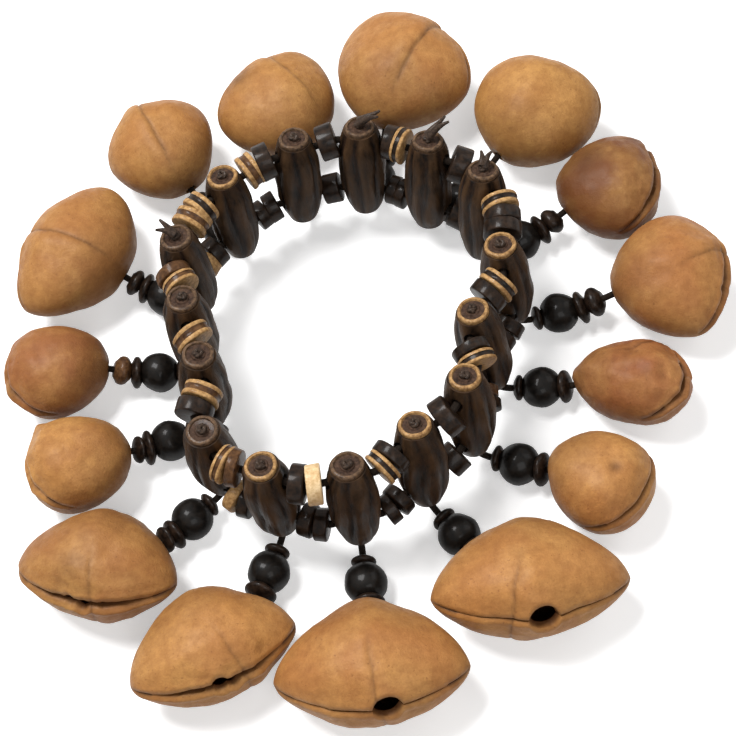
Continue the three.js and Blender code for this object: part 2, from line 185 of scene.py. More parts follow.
# Spacer discs, and the groove between the pale edges of some, as (share of the
# thickness, share of the radius)
LOWER_SPACER_RADIUS = 3.0
UPPER_SPACER_RADIUS = 3.5
THICKEST_SPACER = 3.4
THINNEST_SPACER = 1.9
SPACER_SIDES = 26
SPACER_GAP = 0.06
SPACER_END_GAP = 0.05
SPACER_EDGE = 0.3
SPACER_EDGE_STEPS = 3
SPACER_HOLE_SHARE = 0.2
SPACER_FULLNESS = 1.03
SPACER_VARIES = 0.1
SPACER_LEANS = 0.1
SPACER_UNEVEN = 0.07
RIM_GROOVE = ((0.3, 1), (0.36, 0.95), (0.64, 0.95), (0.7, 1))
RIM_SHARE = 0.31
STRAND_CLEAR = 0.1
STRAND_SEAT_SHARE = 0.5
TILT_TAKES = 0.4
TILT_KEEPS = 0.7
BOW_STEPS = 6
BOW_LOOKS_AHEAD = 0.02

# Beads on the cords: how much each kind varies, how far they lean, how many sides
COLLAR_VARIES = 0.12
WASHER_VARIES = 0.1
LAST_BEAD_VARIES = 0.15
BEADS_LEAN = 0.18
BEAD_UNEVEN = 0.06
ROUND_UNEVEN = 0.075
FOOT_CORD_HEIGHTS = (1.2, 0.2, -0.6)
SAUCER_STEPS = 8
SAUCER_FULLNESS = 2.4
SAUCER_EDGE = 0.28
SAUCER_SIDES = 28
ROUND_STEPS = 12
ROUND_SIDES = 34
STRAIGHT = 1e-9

# A shell's form, as in the model
SHELL_WALL = 1.5
INNER_SHARE = 0.6
MOUTH_SHARE = 0.76
MOUTH_RISES = 30
POINT_PINCH = 0.65
POINT_SHARPENS = 0.45
CORD_HOLE_RADIUS = 1.3
CORD_HOLE_SIDES = 24
CORD_HOLE_ENDS = (-3.5, 3.5)

# How finely a shell is divided, with columns closer together near the slit, and
# how its tips are blunted
SHELL_RINGS = 86
SHELL_COLUMNS = 84
COLUMNS_CROWD = 0.55
HALVINGS = 40
TIP_BLUNTNESS = 9
TIP_KEEPS = 0.95
WELD = 0.004

# The slit: its unevenness, its hole's lower half and the chip beside the hole
SLIT_UNEVEN = 0.4
WIDEST_SLIT = 0.8
HOLE_LOWER_SHARE = 0.85
CHIP_BESIDE = 2.4
CHIP_HALF = 1.6
CHIP_DEPTH = 1.1

# Relief of a shell. Lumps and lengthwise ridges cover it and weaken towards the
# tips. A crease is a narrow valley with a swelling on one side and a dip on the
# other. The slit's lips roll in, and where it is shut a seam runs on. Swelling,
# dip and lip are (distance from the crease or the slit's edge, width).
BROAD_LUMPS = 0.6
BROAD_FINENESS = 0.12
MIDDLE_LUMPS = 0.24
MIDDLE_FINENESS = 0.3
RIDGES = 0.12
CREASE_BENDS = 0.5
CREASE_PIVOT = 6
CREASE_FADES_OVER = 1.6
CREASE_WIDTH = 0.32
SWELL = (1.9, 2.2)
DIP = (-2.2, 2.8)
DIP_SHARE = 0.4
CALM_FROM = 0.45
CALM_OVER = 0.3
CALM_SHARE = 0.65
CALM_SINKS = 0.15
SLIT_ENDS_BY = 0.97
SLIT_FADES_OVER = 0.14
LIP = (1.0, 0.6)
UPPER_LIP = 0.2
LOWER_LIP = 0.45
ROLL_IN = 0.3
ROLL_IN_WIDTH = 0.25
SEAM_DEPTH = 0.3
SEAM_WIDTH = 0.35
SHUT = 0.02
INSIDE_RELIEF = 0.3

# Painted shade: in the crease, seam and valleys, at the slit's edge, on the side towards
# the ring and underneath; and darker at the tips
CREASE_SHADE = 0.9
SEAM_SHADE = 0.8
SLIT_EDGE_SHADE = 0.3
SLIT_EDGE_SHADE_WIDTH = 0.3
VALLEY_SHADE = 0.175
RING_SIDE_SHADE = 0.7
RING_SIDE_FROM = 0.1
UNDERSIDE_SHADE = 0.6
TIP_DARKENING = 0.3
TIP_DARKENING_SHARPNESS = 8

# One row for each seed: its mouth's direction, depth, width and height, how
# pointed its ends are and its roll, as in the model. Then what it looks like:
# tone (0 pale, 1 dark), red (0 yellowish, 1 reddish), crease (place along the
# width, slant, depth, how far behind the middle it runs), hole in the slit
# (place along the width, radius), whether its lower lip is chipped beside the
# hole, how wrinkled it is, slit (half its height, how thick its lips are), and
# marks: dents, knobs and spots (x, y, size, rise, dark). PLAIN_SEED says what
# holds where a row is silent: no crease, no hole, a thin slit, no marks.
PLAIN_SEED = dict(crease=(0, 0, 0, 0), hole=(0, 0), chip=False, slit=(0.3, 0.5), marks=())
SEED_ROWS = [
    dict(mouth=-79, size=(21, 33, 17), point=0.9, roll=-4, tone=0.38, red=0.35, crease=(1, 0.25, 0.55, 0),
         hole=(-0.5, 1.6), chip=True, wrinkle=0.8, slit=(0.55, 0.8)),
    dict(mouth=-98, size=(23, 37, 19), point=1, roll=3, tone=0.4, red=0.45, crease=(0.5, 0.1, 0.5, 2),
         hole=(3.2, 2.5), wrinkle=0.7, slit=(0.16, 0.35)),
    dict(mouth=-95, size=(22, 38, 19), point=1, roll=-3, tone=0.34, red=0.4, crease=(-0.5, -0.3, 0.6, 1),
         hole=(1.3, 2.6), wrinkle=0.7, slit=(0.16, 0.35)),
    dict(mouth=-48, size=(20, 20, 17), point=0.2, roll=4, tone=0.42, red=0.45,
         wrinkle=0.9, slit=(0.3, 0.6), marks=[(0.5, 1, 1.1, -0.25, 0.5)]),
    dict(mouth=-20, size=(22, 18, 16), point=0.4, roll=-5, tone=0.8, red=0.95, crease=(2.5, 0.5, 0.9, 3),
         hole=(1, 1.5), wrinkle=1.8, slit=(0.5, 1),
         marks=[(-1, -2, 2.4, -0.5, 0.1), (-3, 3, 2.2, -0.4, 0.1)]),
    dict(mouth=-2, size=(23, 28, 19), point=0.7, roll=4, tone=0.5, red=0.55, crease=(-3.5, 0.3, 0.5, 0),
         hole=(-6.5, 0.9), chip=True, wrinkle=1.0, slit=(0.4, 1)),
    dict(mouth=-15, size=(21, 25, 18), point=0.5, roll=-4, tone=1.05, red=0.15, crease=(5.5, 0.2, 0.4, 2),
         hole=(6, 0.8), chip=True, wrinkle=1.2, slit=(0.6, 1),
         marks=[(-6, 2, 5, 0, 0.35), (5, 8, 3.5, 0.4, 0)]),
    dict(mouth=50, size=(24, 28, 20), point=0.4, roll=3, tone=0.38, red=0.1,
         wrinkle=0.6, marks=[(7, -10, 5, 1.2, 0.1), (3, 3, 7, 0.5, -0.1)]),
    dict(mouth=46, size=(27, 32, 21), point=0.5, roll=-3, tone=0.4, red=0.35, crease=(-4.5, 0.05, 0.8, 9),
         wrinkle=0.6, marks=[(-6, -3, 5, 0, 0.2), (8, 11, 5, 1, 0), (-6, -12, 4, 0.8, 0.2)]),
    dict(mouth=115, size=(24, 28, 18), point=0.5, roll=4, tone=0.45, red=0.2, crease=(-4.5, 0.1, 0.5, 9),
         wrinkle=0.6, marks=[(5, 5, 3, -0.2, 0.5), (6, -9, 5, 1, 0)]),
    dict(mouth=112, size=(23, 25, 18), point=0.6, roll=-4, tone=0.45, red=0.25, crease=(0.5, -0.1, 0.7, 10),
         wrinkle=0.5),
    dict(mouth=143, size=(22, 35.5, 19), point=0.8, roll=3, tone=0.52, red=0.3, crease=(1.5, 0.1, 0.7, 10),
         wrinkle=0.6),
    dict(mouth=-174, size=(20, 20, 17.6), point=0.2, roll=-4, tone=0.8, red=0.6,
         hole=(-2.5, 0.8), chip=True, wrinkle=1.0, slit=(0.5, 1.1), marks=[(7, 3, 1.4, 0.5, 0.1)]),
    dict(mouth=-178, size=(20, 20, 17), point=0.1, roll=4, tone=0.42, red=0.3,
         hole=(2, 0.8), chip=True, wrinkle=1.0, slit=(0.35, 1), marks=[(4.5, -8, 1.6, 1.1, 0.15)]),
    dict(mouth=-109, size=(21, 32, 17), point=0.8, roll=-3, tone=0.6, red=0.3, crease=(0, 0.1, 0.5, 0),
         hole=(-3, 1.1), chip=True, wrinkle=0.9, slit=(0.6, 1.1), marks=[(2, -3, 3.5, 0.3, 0.3)]),
]
SEEDS = [PLAIN_SEED | row for row in SEED_ROWS]

# Discs on each strand, from each barrel to the next one
UPPER_DISCS = [
    "dark cream dark", "rim dark", "dark brown", "rim dark", "dark rim", "dark dark rim", "dark rim",
    "rim dark", "dark brown", "dark rind", "rim rind", "brown rind", "rind brown", "rind dark", "rind brown",
]
LOWER_DISCS = [
    "dark dark dark", "dark dark", "dark pale dark", "dark brown", "dark dark dark", "dark dark dark",
    "dark dark", "dark dark dark", "dark dark", "dark dark dark", "dark pale", "pale dark",
    "dark brown", "dark dark dark", "pale dark dark",
]
PALE_CAPS = ("01", "03", "04", "05", "06", "11")

# Cut ends that stick out of a knot, as (heading, length)
TAILS = {"09": (-20, 5.5), "08": (10, 5.5), "12": (150, 4.0), "07": (60, 3.0)}


def srgb(red, green, blue):
    """A colour of the photograph's scale, 0 to 255, as linear values by the sRGB curve."""
    parts = [channel / 255 for channel in (red, green, blue)]
    return tuple(p / 12.92 if p <= 0.04045 else ((p + 0.055) / 1.055) ** 2.4 for p in parts) + (1,)


def grey(level):
    """A grey, as linear values."""
    return (level, level, level, 1)


# Shell colours, yellowish and reddish each, and what lies on them
PALE_SEED = (srgb(201, 147, 80), srgb(203, 133, 77))
DARK_SEED = (srgb(118, 75, 36), srgb(124, 67, 37))
SEED_MOTTLE = srgb(100, 52, 24)
SEED_BLEACHED = srgb(214, 166, 98)
SEED_GRAIN = srgb(120, 74, 40)
SEED_SPECK = srgb(112, 66, 36)
# Colour of dirt and of painted shade in creases, valleys, at the slit, on the ring side and underneath
SEED_DIRT_AND_SHADE = srgb(58, 32, 16)
SEED_INSIDE = srgb(112, 72, 42)

# Barrel and cord, dark to light, and a barrel's worn crests and its patches
WOOD = (srgb(12, 8, 6), srgb(46, 32, 22))
WORN_WOOD = srgb(98, 72, 48)
WOOD_PATCH = srgb(36, 20, 15)
CORD_DARK_TO_LIGHT = (srgb(16, 12, 9), srgb(44, 35, 28))

TABLE_SEEN = grey(0.94)
TABLE_AS_LIGHT = grey(0.35)
WHITE = grey(1)

# The colour mix node's sockets by number, because others have the same names
MIX_INPUTS = (0, 6, 7)
MIX_RESULT = 2


class Nodes:
    """The nodes of a material or of the world, added and wired by name."""

    def __init__(self, name, world=False):
        self.made = (bpy.data.worlds if world else bpy.data.materials).new(name)
        self.made.use_nodes = True
        self.tree = self.made.node_tree
        self.shader = self.tree.nodes["Background" if world else "Principled BSDF"]

    def add(self, kind, inputs=(), **settings):
        node = self.tree.nodes.new(kind)
        for key, value in settings.items():
            setattr(node, key, value)
        for key, value in dict(inputs).items():
            self.put(value, node.inputs[key])
        return node

    def put(self, value, socket):
        if isinstance(value, bpy.types.NodeSocket):
            self.tree.links.new(value, socket)
        else:
            socket.default_value = value

    def place(self, scale=(1, 1, 1)):
        """Object coordinates in millimetres, stretched by `scale`."""
        coordinates = self.add("ShaderNodeTexCoord").outputs["Object"]
        stretch = tuple(s / MM for s in scale)
        return self.add("ShaderNodeMapping", {"Vector": coordinates, "Scale": stretch}).outputs["Vector"]

    def noise(self, place, scale, detail, roughness, distortion=0.0):
        made = self.add("ShaderNodeTexNoise", {"Vector": place, "Scale": scale, "Detail": detail,
                                               "Roughness": roughness, "Distortion": distortion})
        return made.outputs["Fac"]

    def span(self, value, low, high, start=0.0, end=1.0):
        """`value` from low..high mapped to start..end, and held there."""
        made = self.add("ShaderNodeMapRange", {"Value": value, "From Min": low, "From Max": high,
                                               "To Min": start, "To Max": end})
        return made.outputs["Result"]

    def mix(self, factor, first, second):
        inputs = zip(MIX_INPUTS, (factor, first, second))
        return self.add("ShaderNodeMix", inputs, data_type="RGBA").outputs[MIX_RESULT]

    def maths(self, operation, first, second):
        return self.add("ShaderNodeMath", {0: first, 1: second}, operation=operation).outputs[0]

    def times(self, first, second):
        return self.maths("MULTIPLY", first, second)

    def shows_background(self):
        """1 for rays from the camera and mirrored or refracted ones, 0 for those that light the object."""
        path = self.add("ShaderNodeLightPath").outputs
        mirrored = self.maths("MAXIMUM", path["Is Glossy Ray"], path["Is Transmission Ray"])
        return self.maths("MAXIMUM", path["Is Camera Ray"], mirrored)

    def attribute(self, name):
        return self.add("ShaderNodeAttribute", attribute_name=name).outputs["Fac"]

    def bump(self, height, strength, distance_mm):
        inputs = {"Height": height, "Strength": strength, "Distance": distance_mm * MM}
        return self.add("ShaderNodeBump", inputs).outputs["Normal"]

    def finish(self, **inputs):
        """Puts values on the shader's inputs, with _ in a name for a space."""
        for name, value in inputs.items():
            self.put(value, self.shader.inputs[name.replace("_", " ")])
        return self.made


def blended(share, low, high):
    """The colour at `share` of the way from low to high."""
    return tuple(a + (b - a) * share for a, b in zip(low, high))


def seed_material(unit, seed):
    """Dried seed shell: tan with paler patches, mottles, specks, dirt and painted shade, and a soft sheen."""
    n = Nodes(f"seed_shell_{unit}")
    own_place = (7.0 * int(unit), 3.0 * int(unit), 0)
    place = n.add("ShaderNodeVectorMath", {0: n.place(), 1: own_place}, operation="ADD").outputs[0]
    base = blended(seed["tone"], blended(seed["red"], *PALE_SEED), blended(seed["red"], *DARK_SEED))
    deep = blended(0.6, base, SEED_MOTTLE)
    pale = blended(0.35, base, SEED_BLEACHED)
    patches = n.span(n.noise(place, scale=0.11, detail=3, roughness=0.5, distortion=0.4), low=0.38, high=0.66)
    mottles = n.span(n.noise(place, scale=0.55, detail=5, roughness=0.62), low=0.35, high=0.7)
    grain = n.span(n.noise(place, scale=2.6, detail=3, roughness=0.6), low=0.3, high=0.72)
    specks = n.span(n.noise(place, scale=1.7, detail=2, roughness=0.5), low=0.66, high=0.74)
    colour = n.mix(patches, base, pale)
    colour = n.mix(n.times(mottles, 0.55), colour, deep)
    colour = n.mix(n.times(grain, 0.22), colour, SEED_GRAIN)
    colour = n.mix(n.times(specks, 0.5), colour, SEED_SPECK)
    # Dirt and painted shade from the shell's points darken the colour
    colour = n.mix(n.attribute("dirt"), colour, SEED_DIRT_AND_SHADE)
    colour = n.mix(n.attribute("inside"), colour, SEED_INSIDE)
    pores = n.times(n.noise(place, scale=1.4, detail=6, roughness=0.65), 0.8)
    height = n.maths("ADD", pores, n.times(grain, 0.25))
    return n.finish(Base_Color=colour, Roughness=n.span(mottles, low=0, high=1, start=0.48, end=0.64),
                    Specular_IOR_Level=0.2, Coat_Weight=0.04, Coat_Roughness=0.35,
                    Normal=n.bump(height, strength=0.75, distance_mm=0.18))


def barrel_material():
    """Very dark brown ribbed wood, worn paler on the ribs, with lengthwise fibres."""
    n = Nodes("barrel_wood")
    streaks = n.noise(n.place((1, 1, 0.12)), scale=1.6, detail=5, roughness=0.6)
    patches = n.noise(n.place(), scale=0.22, detail=3, roughness=0.5)
    worn = n.times(n.attribute("crest"), n.span(patches, low=0.3, high=0.7, start=0.1, end=0.75))
    colour = n.mix(n.span(streaks, low=0.38, high=0.64), *WOOD)
    colour = n.mix(worn, colour, WORN_WOOD)
    colour = n.mix(n.span(patches, low=0.5, high=0.75, start=0, end=0.5), colour, WOOD_PATCH)
    return n.finish(Base_Color=colour, Roughness=n.span(streaks, low=0.3, high=0.7, start=0.42, end=0.68),
                    Specular_IOR_Level=0.08, Coat_Weight=0.06, Coat_Roughness=0.16,
                    Normal=n.bump(streaks, strength=0.8, distance_mm=0.3))


def bead_material(name, dark, light, roughness, scale=0.9):
    """Polished wood or shell bead with a fine grain."""
    n = Nodes(name)
    grain = n.noise(n.place(), scale=scale, detail=5, roughness=0.6)
    colour = n.mix(n.span(grain, low=0.34, high=0.68), dark, light)
    dullness = n.span(grain, low=0.3, high=0.7, start=roughness, end=roughness + 0.18)
    return n.finish(Base_Color=colour, Roughness=dullness,
                    Specular_IOR_Level=0.08, Coat_Weight=0.11, Coat_Roughness=0.12,
                    Normal=n.bump(grain, strength=0.4, distance_mm=0.14))


def cord_material():
    """Waxed dark cord with a fine twist."""
    n = Nodes("dark_cord")
    wave = n.add("ShaderNodeTexWave", {"Vector": n.place(), "Scale": 1.3, "Distortion": 1.5}).outputs["Fac"]
    return n.finish(Base_Color=n.mix(wave, *CORD_DARK_TO_LIGHT), Roughness=0.7, Specular_IOR_Level=0.1,
                    Normal=n.bump(wave, strength=0.6, distance_mm=0.15))


CORD = cord_material()
BARREL = barrel_material()
ROUND = bead_material("round_bead", srgb(7, 6, 5), srgb(24, 19, 15), roughness=0.4)
SAUCER = bead_material("saucer_bead", srgb(12, 8, 6), srgb(44, 31, 22), roughness=0.38)
DISC_DARK = bead_material("disc_dark", srgb(15, 10, 7), srgb(48, 34, 24), roughness=0.32)
DISC_BROWN = bead_material("disc_brown", srgb(52, 32, 19), srgb(102, 71, 44), roughness=0.34)
DISC_PALE = bead_material("disc_pale", srgb(132, 96, 58), srgb(196, 156, 104), roughness=0.42, scale=1.4)
DISC_CREAM = bead_material("disc_cream", srgb(196, 160, 112), srgb(232, 204, 160), roughness=0.42, scale=1.4)
CAP_RIM = bead_material("cap_rim", srgb(112, 80, 48), srgb(188, 148, 98), roughness=0.5, scale=1.6)
CAP_DULL = bead_material("cap_dull", srgb(56, 42, 32), srgb(114, 89, 67), roughness=0.5, scale=1.6)
CAP_CORE = bead_material("cap_core", srgb(38, 26, 20), srgb(84, 63, 50), roughness=0.6, scale=1.6)
KNOT = bead_material("knot_cord", srgb(32, 24, 20), srgb(78, 63, 52), roughness=0.65, scale=2.2)

# Material slots of the discs, of the beads on a cord and of the caps
DISC_SLOTS = [DISC_DARK, DISC_BROWN, DISC_PALE, DISC_CREAM, CORD]
BEAD_SLOTS = [CORD, ROUND, SAUCER, DISC_BROWN]
BEAD_CORD_SLOT, ROUND_SLOT, SAUCER_SLOT, BROWN_BEAD_SLOT = range(4)
RIM_SLOT, CORE_SLOT, KNOT_SLOT = range(3)

# Kinds of disc, by the places in DISC_SLOTS of their middle and of their edges
DISC_KINDS = {"dark": (0, 0), "brown": (1, 1), "pale": (2, 2), "cream": (3, 3), "rim": (0, 2), "rind": (1, 2)}


def linked(name, data):
    """A new object in the scene."""
    made = bpy.data.objects.new(name, data)
    bpy.context.scene.collection.objects.link(made)
    return made


class Form:
    """A mesh under construction: points in millimetres and faces with a material slot each."""

    def __init__(self):
        self.points = []
        self.faces = []
        self.slots = []

    def add(self, points, faces, slot=0):
        """Adds faces that share one material slot or have a list of their own."""
        base = len(self.points)
        self.points.extend(map(tuple, points))
        self.faces.extend(tuple(base + corner for corner in face) for face in faces)
        self.slots.extend(slot if isinstance(slot, list) else [slot] * len(faces))

    def object(self, name, materials, sharp=40, **values):
        """The form as an object, sharp where it turns by more than `sharp`, with values for its points."""
        mesh = bpy.data.meshes.new(name)
        mesh.from_pydata([tuple(c * MM for c in point) for point in self.points], [], self.faces)
        for material in materials:
            mesh.materials.append(material)
        mesh.polygons.foreach_set("material_index", self.slots)
        for key, column in values.items():
            mesh.attributes.new(key, "FLOAT", "POINT").data.foreach_set("value", column)
        mesh.shade_smooth()
        mesh.set_sharp_from_angle(angle=math.radians(sharp))
        return linked(name, mesh)


def rough(x, y, z):
    """Smooth noise at a place, from about -1 to 1."""
    return noise.noise(Vector((x, y, z)))


def clamped(value):
    return max(0.0, min(1.0, value))


def bell(place, middle, width):
    """1 in the middle, falling to 0 on both sides."""
    return math.exp(-((place - middle) / width) ** 2)


def grid_faces(rows, columns, closed=True):
    """Faces of a grid of points, row after row, whose rows close into rings or stay open."""
    faces = []
    for r in range(rows - 1):
        for c in range(columns if closed else columns - 1):
            d = (c + 1) % columns
            faces.append((r * columns + c, r * columns + d, (r + 1) * columns + d, (r + 1) * columns + c))
    return faces


def ended_faces(rows, sides):
    """Faces of a row of rings with a flat face on both ends."""
    last = (rows - 1) * sides
    return grid_faces(rows, sides) + [tuple(range(sides - 1, -1, -1)), tuple(range(last, last + sides))]


def turned(first, second, angle):
    """The direction at `angle`, in radians, from first towards second."""
    return first * math.cos(angle) + second * math.sin(angle)


def basis(direction, aside=(0, 0, 1)):
    """Two directions square to the given one and to each other."""
    direction = Vector(direction).normalized()
    aside = Vector(aside)
    nearly_along = 0.98
    if abs(direction.dot(aside.normalized())) > nearly_along:
        aside = Vector((1, 0, 0))
    first = (aside - direction * aside.dot(direction)).normalized()
    return first, direction.cross(first)


def lathe(profile, sides, origin, axis, uneven=0.0, seed=0):
    """Points and faces of a form turned about `axis` from (distance along, radius) rows, ended flat."""
    axis = axis.normalized()
    first, second = basis(axis)
    points = []
    for along, radius in profile:
        for side in range(sides):
            out = turned(first, second, 2 * math.pi * side / sides)
            swell = noise.noise(out * 1.3 + axis * along * 0.4 + Vector((seed * 3.1, seed, 0)))
            points.append(origin + axis * along + out * radius * (1 + uneven * swell))
    return points, ended_faces(len(profile), sides)


def tube(path, radius, sides, end_radius=None):
    """Points and faces of a tube along `path`, straight or tapered, ended flat."""
    taper = 0.0 if end_radius is None else end_radius - radius
    last = len(path) - 1
    aside = (0, 0, 1)
    points = []
    for k, centre in enumerate(path):
        ahead = path[min(k + 1, last)] - path[max(k - 1, 0)]
        aside, second = basis(ahead, aside)
        for side in range(sides):
            out = turned(aside, second, 2 * math.pi * side / sides)
            points.append(centre + out * (radius + taper * k / last))
    return points, ended_faces(len(path), sides)


def looped_tube(path, radius, sides):
    """Points and faces of a tube along a closed path, its ends joined where their corners are nearest."""
    count = len(path)
    points = tube(path + path[:1], radius, sides)[0][:count * sides]
    faces = grid_faces(count, sides)
    last = (count - 1) * sides
    shift = min(range(sides), key=lambda side: (points[side] - points[last]).length)
    for side in range(sides):
        after = (side + 1) % sides
        faces.append((last + side, last + after, (after + shift) % sides, (side + shift) % sides))
    return points, faces


def cut(piece, cutter):
    """Cuts a closed form out of a piece for good."""
    modifier = piece.modifiers.new("cut", "BOOLEAN")
    modifier.operation = "DIFFERENCE"
    modifier.solver = "EXACT"
    modifier.object = cutter
    bpy.context.view_layer.update()
    mesh = bpy.data.meshes.new_from_object(piece.evaluated_get(bpy.context.evaluated_depsgraph_get()))
    piece.modifiers.remove(modifier)
    old = piece.data
    piece.data = mesh
    mesh.name = piece.name
    bpy.data.meshes.remove(old)
    bpy.data.objects.remove(cutter)


def drill(piece, origin, along, ends, radius, sides):
    """Cuts a straight round hole between two distances from `origin`."""
    form = Form()
    form.add(*lathe([(end, radius) for end in ends], sides, origin, along))
    cut(piece, form.object("drill", [piece.data.materials[0]]))


class Barrel:
    """Where a barrel stands, read from its node and from the pivot under its foot."""

    def __init__(self, unit):
        pivot = Vector(joints[f"string_{unit}_swing"]["pos_m"]) / MM
        corners = [v.co / MM for v in frame["nodes"][f"barrel_{unit}"].data.vertices]
        tip = max(corners, key=lambda corner: (corner - pivot).length)
        self.up = (tip - pivot).normalized()
        self.foot = pivot + self.up * (CORD_RADIUS + CLEARANCE + CORD_STUB)

    def face(self, before, after):
        """Turns the cross-holes along the line between the barrels on both sides."""
        middle = (LOWER_HOLE_AT + UPPER_HOLE_AT) / 2
        chord = after.at(middle) - before.at(middle)
        self.along = (chord - self.up * chord.dot(self.up)).normalized()

    def at(self, height):
        return self.foot + self.up * height


def barrel_radius(height):
    end = BARREL_FOOT_RADIUS if height < BARREL_LENGTH / 2 else BARREL_TOP_RADIUS
    share = min(1.0, abs(2 * height / BARREL_LENGTH - 1))
    return BARREL_RADIUS - (BARREL_RADIUS - end) * share ** BARREL_FULLNESS


def barrel_relief(number, height, angle):
    """How far a barrel's surface stands out of its plain form at a place, and how worn it is there."""
    flank = math.sin(math.pi * height / BARREL_LENGTH) ** 0.5
    x, y = math.cos(angle), math.sin(angle)
    twist = RIBS_TWIST * rough(number * 2.7, 0, 5)
    turn = angle + twist * height / BARREL_LENGTH + RIBS_WANDER * rough(x, y, height * 0.1 + number)
    rib = abs(math.cos(BARREL_RIBS * turn / 2 + number)) ** RIB_SHARPNESS
    wrinkle = rough(WRINKLE_FINENESS * math.cos(turn), WRINKLE_FINENESS * math.sin(turn),
                    height * 0.12 + 9 * number)
    lump = rough(x, y, height * 0.2 + 3 * number)
    rise = flank * (WRINKLE_DEPTH * wrinkle + LUMP_DEPTH * lump - RIB_DEPTH * (1 - rib))
    return rise, clamped(WEAR_OF_RIB * rib + WEAR_OF_WRINKLE * wrinkle - UNWORN)


def make_barrel(unit, barrel):
    """Ribbed wooden pod with wrinkled flanks, cut flat at both ends and drilled across twice."""
    second = barrel.up.cross(barrel.along)
    points = []
    crest = []
    for row in range(BARREL_ROWS + 1):
        height = BARREL_LENGTH * (1 - math.cos(math.pi * row / BARREL_ROWS)) / 2
        for side in range(BARREL_SIDES):
            angle = 2 * math.pi * side / BARREL_SIDES
            rise, worn = barrel_relief(int(unit), height, angle)
            out = turned(barrel.along, second, angle)
            points.append(barrel.at(height) + out * (barrel_radius(height) + rise))
            crest.append(worn)
    form = Form()
    form.add(points, ended_faces(BARREL_ROWS + 1, BARREL_SIDES))
    body = form.object(f"barrel_body_{unit}", [BARREL], 35, crest=crest)
    for height in (LOWER_HOLE_AT, UPPER_HOLE_AT):
        start = barrel.at(height) - barrel.along * DRILL_REACH
        drill(body, start, barrel.along, (0, 2 * DRILL_REACH), CROSS_HOLE_RADIUS, DRILL_SIDES)
    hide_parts(f"barrel_{unit}")
    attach(body, "ring")


def add_knot(form, barrel, top, number):
    """The cord's knot in the middle of a cap."""
    first, second = basis(barrel.up, barrel.along)
    loop = []
    for step in range(KNOT_STEPS):
        angle = 2 * math.pi * step / KNOT_STEPS * KNOT_TURNS + number
        reach = KNOT_RADIUS + KNOT_SWAY * math.cos(KNOT_WAVES * angle)
        rise = KNOT_SEAT + KNOT_SWAY * math.sin(KNOT_WAVES * angle) + KNOT_CLIMB * step
        loop.append(top + turned(first, second, angle) * reach + barrel.up * rise)
    form.add(*tube(loop, KNOT_CORD_RADIUS, KNOT_CORD_SIDES), KNOT_SLOT)


def add_tail(form, barrel, top, heading, length):
    """The two frayed ends that stick out of a knot."""
    way = turned(Vector((1, 0, 0)), Vector((0, 1, 0)), math.radians(heading))
    for strand, spread in TAIL_ENDS:
        path = []
        for step in range(TAIL_STEPS + 1):
            share = step / TAIL_STEPS
            place = top + barrel.up * (TAIL_STARTS_AT + length * TAIL_RISE * share)
            place += way * length * share * TAIL_REACH
            place += way.cross(barrel.up) * spread * (1 + TAIL_SPREADS * share ** 2)
            place.z += TAIL_WAVE * math.sin(3 * share + strand)
            path.append(place)
        form.add(*tube(path, TAIL_RADIUS, TAIL_SIDES, TAIL_TIP_RADIUS), KNOT_SLOT)


def make_cap(unit, barrel):
    """Cane disc with a worn rim and a grey core, the cord's knot in its middle, and its cut end."""
    number = int(unit)
    radius = CAP_RADIUS * (1 + CAP_UNEVEN * rough(number * 1.7, 3, 1))
    rim = radius * CAP_RIM_SHARE
    profile = [(height, radius * share) for height, share in CAP_FOOT]
    profile += [(CAP_THICKNESS - depth, radius * share) for depth, share in CAP_TOP]
    profile += [(CAP_THICKNESS - depth, rim * share) for depth, share in CAP_HOLLOW]
    base = barrel.at(BARREL_LENGTH - CAP_SEAT)
    points, faces = lathe(profile, CAP_SIDES, base, barrel.up, CAP_UNEVEN, number)
    rim_bands = len(CAP_FOOT) + len(CAP_TOP) + 1
    core_bands = len(profile) - 1 - rim_bands
    slots = [RIM_SLOT] * rim_bands * CAP_SIDES + [CORE_SLOT] * core_bands * CAP_SIDES
    form = Form()
    form.add(points, faces, slots + [RIM_SLOT, CORE_SLOT])
    top = barrel.at(BARREL_LENGTH - CAP_SEAT + CAP_THICKNESS)
    add_knot(form, barrel, top, number)
    if unit in TAILS:
        add_tail(form, barrel, top, *TAILS[unit])
    edge = CAP_RIM if unit in PALE_CAPS else CAP_DULL
    cap = form.object(f"barrel_cap_{unit}", [edge, CAP_CORE, KNOT], 50)
    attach(cap, "ring")


def disc_rows(kind, thickness, radius):
    """Profile of a spacer disc with rounded edges, and the slot of each of its bands."""
    start = -thickness / 2
    near = [(start, radius * SPACER_HOLE_SHARE)]
    for k in range(SPACER_EDGE_STEPS, -1, -1):
        angle = math.pi / 2 * k / SPACER_EDGE_STEPS
        inwards = SPACER_EDGE * (1 - math.cos(angle))
        near.append((start + SPACER_EDGE * (1 - math.sin(angle)), radius - inwards))
    far = [(-along, row_radius) for along, row_radius in reversed(near)]
    middle_slot, edge_slot = DISC_KINDS[kind]
    groove = []
    if middle_slot != edge_slot:
        groove = [(start + share * thickness, size * radius) for share, size in RIM_GROOVE]
    rows = near + groove + far
    bands = []
    for (begins, _), (ends, _) in zip(rows, rows[1:]):
        share = ((begins + ends) / 2 - start) / thickness
        bands.append(middle_slot if RIM_SHARE <= share <= 1 - RIM_SHARE else edge_slot)
    return rows, bands


